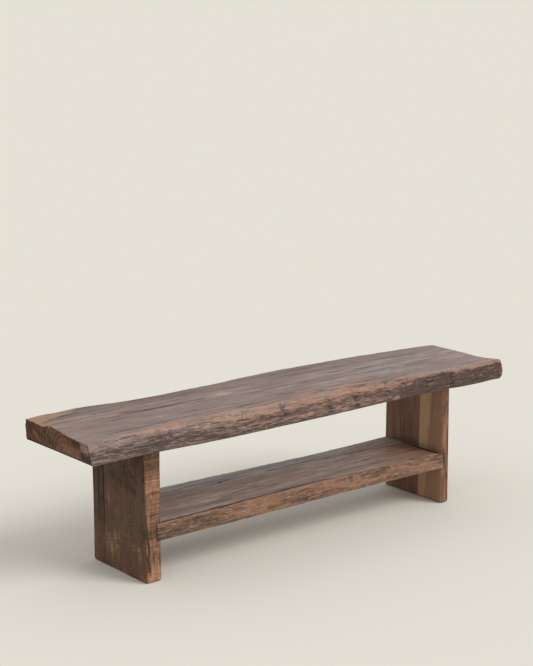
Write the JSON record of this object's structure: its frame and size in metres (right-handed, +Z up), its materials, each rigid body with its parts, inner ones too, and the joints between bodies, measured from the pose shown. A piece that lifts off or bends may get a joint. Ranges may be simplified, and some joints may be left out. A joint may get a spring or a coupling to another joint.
{
  "type": "slab bench",
  "caption": "Rustic bench: a thick waney-edged slab seat on glued-up plank legs, with a low shelf housed between the legs.",
  "frame": {"origin": "middle of the bench's footprint box, at floor level", "axes": "+X along the seat from its left end to its right end as seen from the front, +Y towards the rear edge, +Z up"},
  "size_m": [1.6104, 0.37, 0.45],
  "materials": {
    "seat_wood": "worn, waxed, weathered grey-brown",
    "shelf_wood": "worn, waxed, weathered grey-brown",
    "left_leg_wood": "dark waxed",
    "right_leg_wood": "dark waxed",
    "dowel_wood": "raw",
    "plug_wood": "dark stained",
    "screw_steel": "plain zinc"
  },
  "bodies": {
    "root": {"seat_slab": "seat_wood", "shelf_board": "shelf_wood", "left_leg_front_board": "left_leg_wood", "left_leg_rear_board": "left_leg_wood", "left_seat_dowel_1": "dowel_wood", "left_joint_dowel_1": "dowel_wood", "left_seat_dowel_2": "dowel_wood", "left_joint_dowel_2": "dowel_wood", "left_seat_dowel_3": "dowel_wood", "left_joint_dowel_3": "dowel_wood", "left_shelf_screw_1": "screw_steel", "left_shelf_plug_1": "plug_wood", "left_shelf_screw_2": "screw_steel", "left_shelf_plug_2": "plug_wood", "left_shelf_screw_3": "screw_steel", "left_shelf_plug_3": "plug_wood", "left_shelf_screw_4": "screw_steel", "left_shelf_plug_4": "plug_wood", "right_leg_front_board": "right_leg_wood", "right_leg_rear_board": "right_leg_wood", "right_seat_dowel_1": "dowel_wood", "right_joint_dowel_1": "dowel_wood", "right_seat_dowel_2": "dowel_wood", "right_joint_dowel_2": "dowel_wood", "right_seat_dowel_3": "dowel_wood", "right_joint_dowel_3": "dowel_wood", "right_shelf_screw_1": "screw_steel", "right_shelf_plug_1": "plug_wood", "right_shelf_screw_2": "screw_steel", "right_shelf_plug_2": "plug_wood", "right_shelf_screw_3": "screw_steel", "right_shelf_plug_3": "plug_wood", "right_shelf_screw_4": "screw_steel", "right_shelf_plug_4": "plug_wood"}
  },
  "joints": []
}
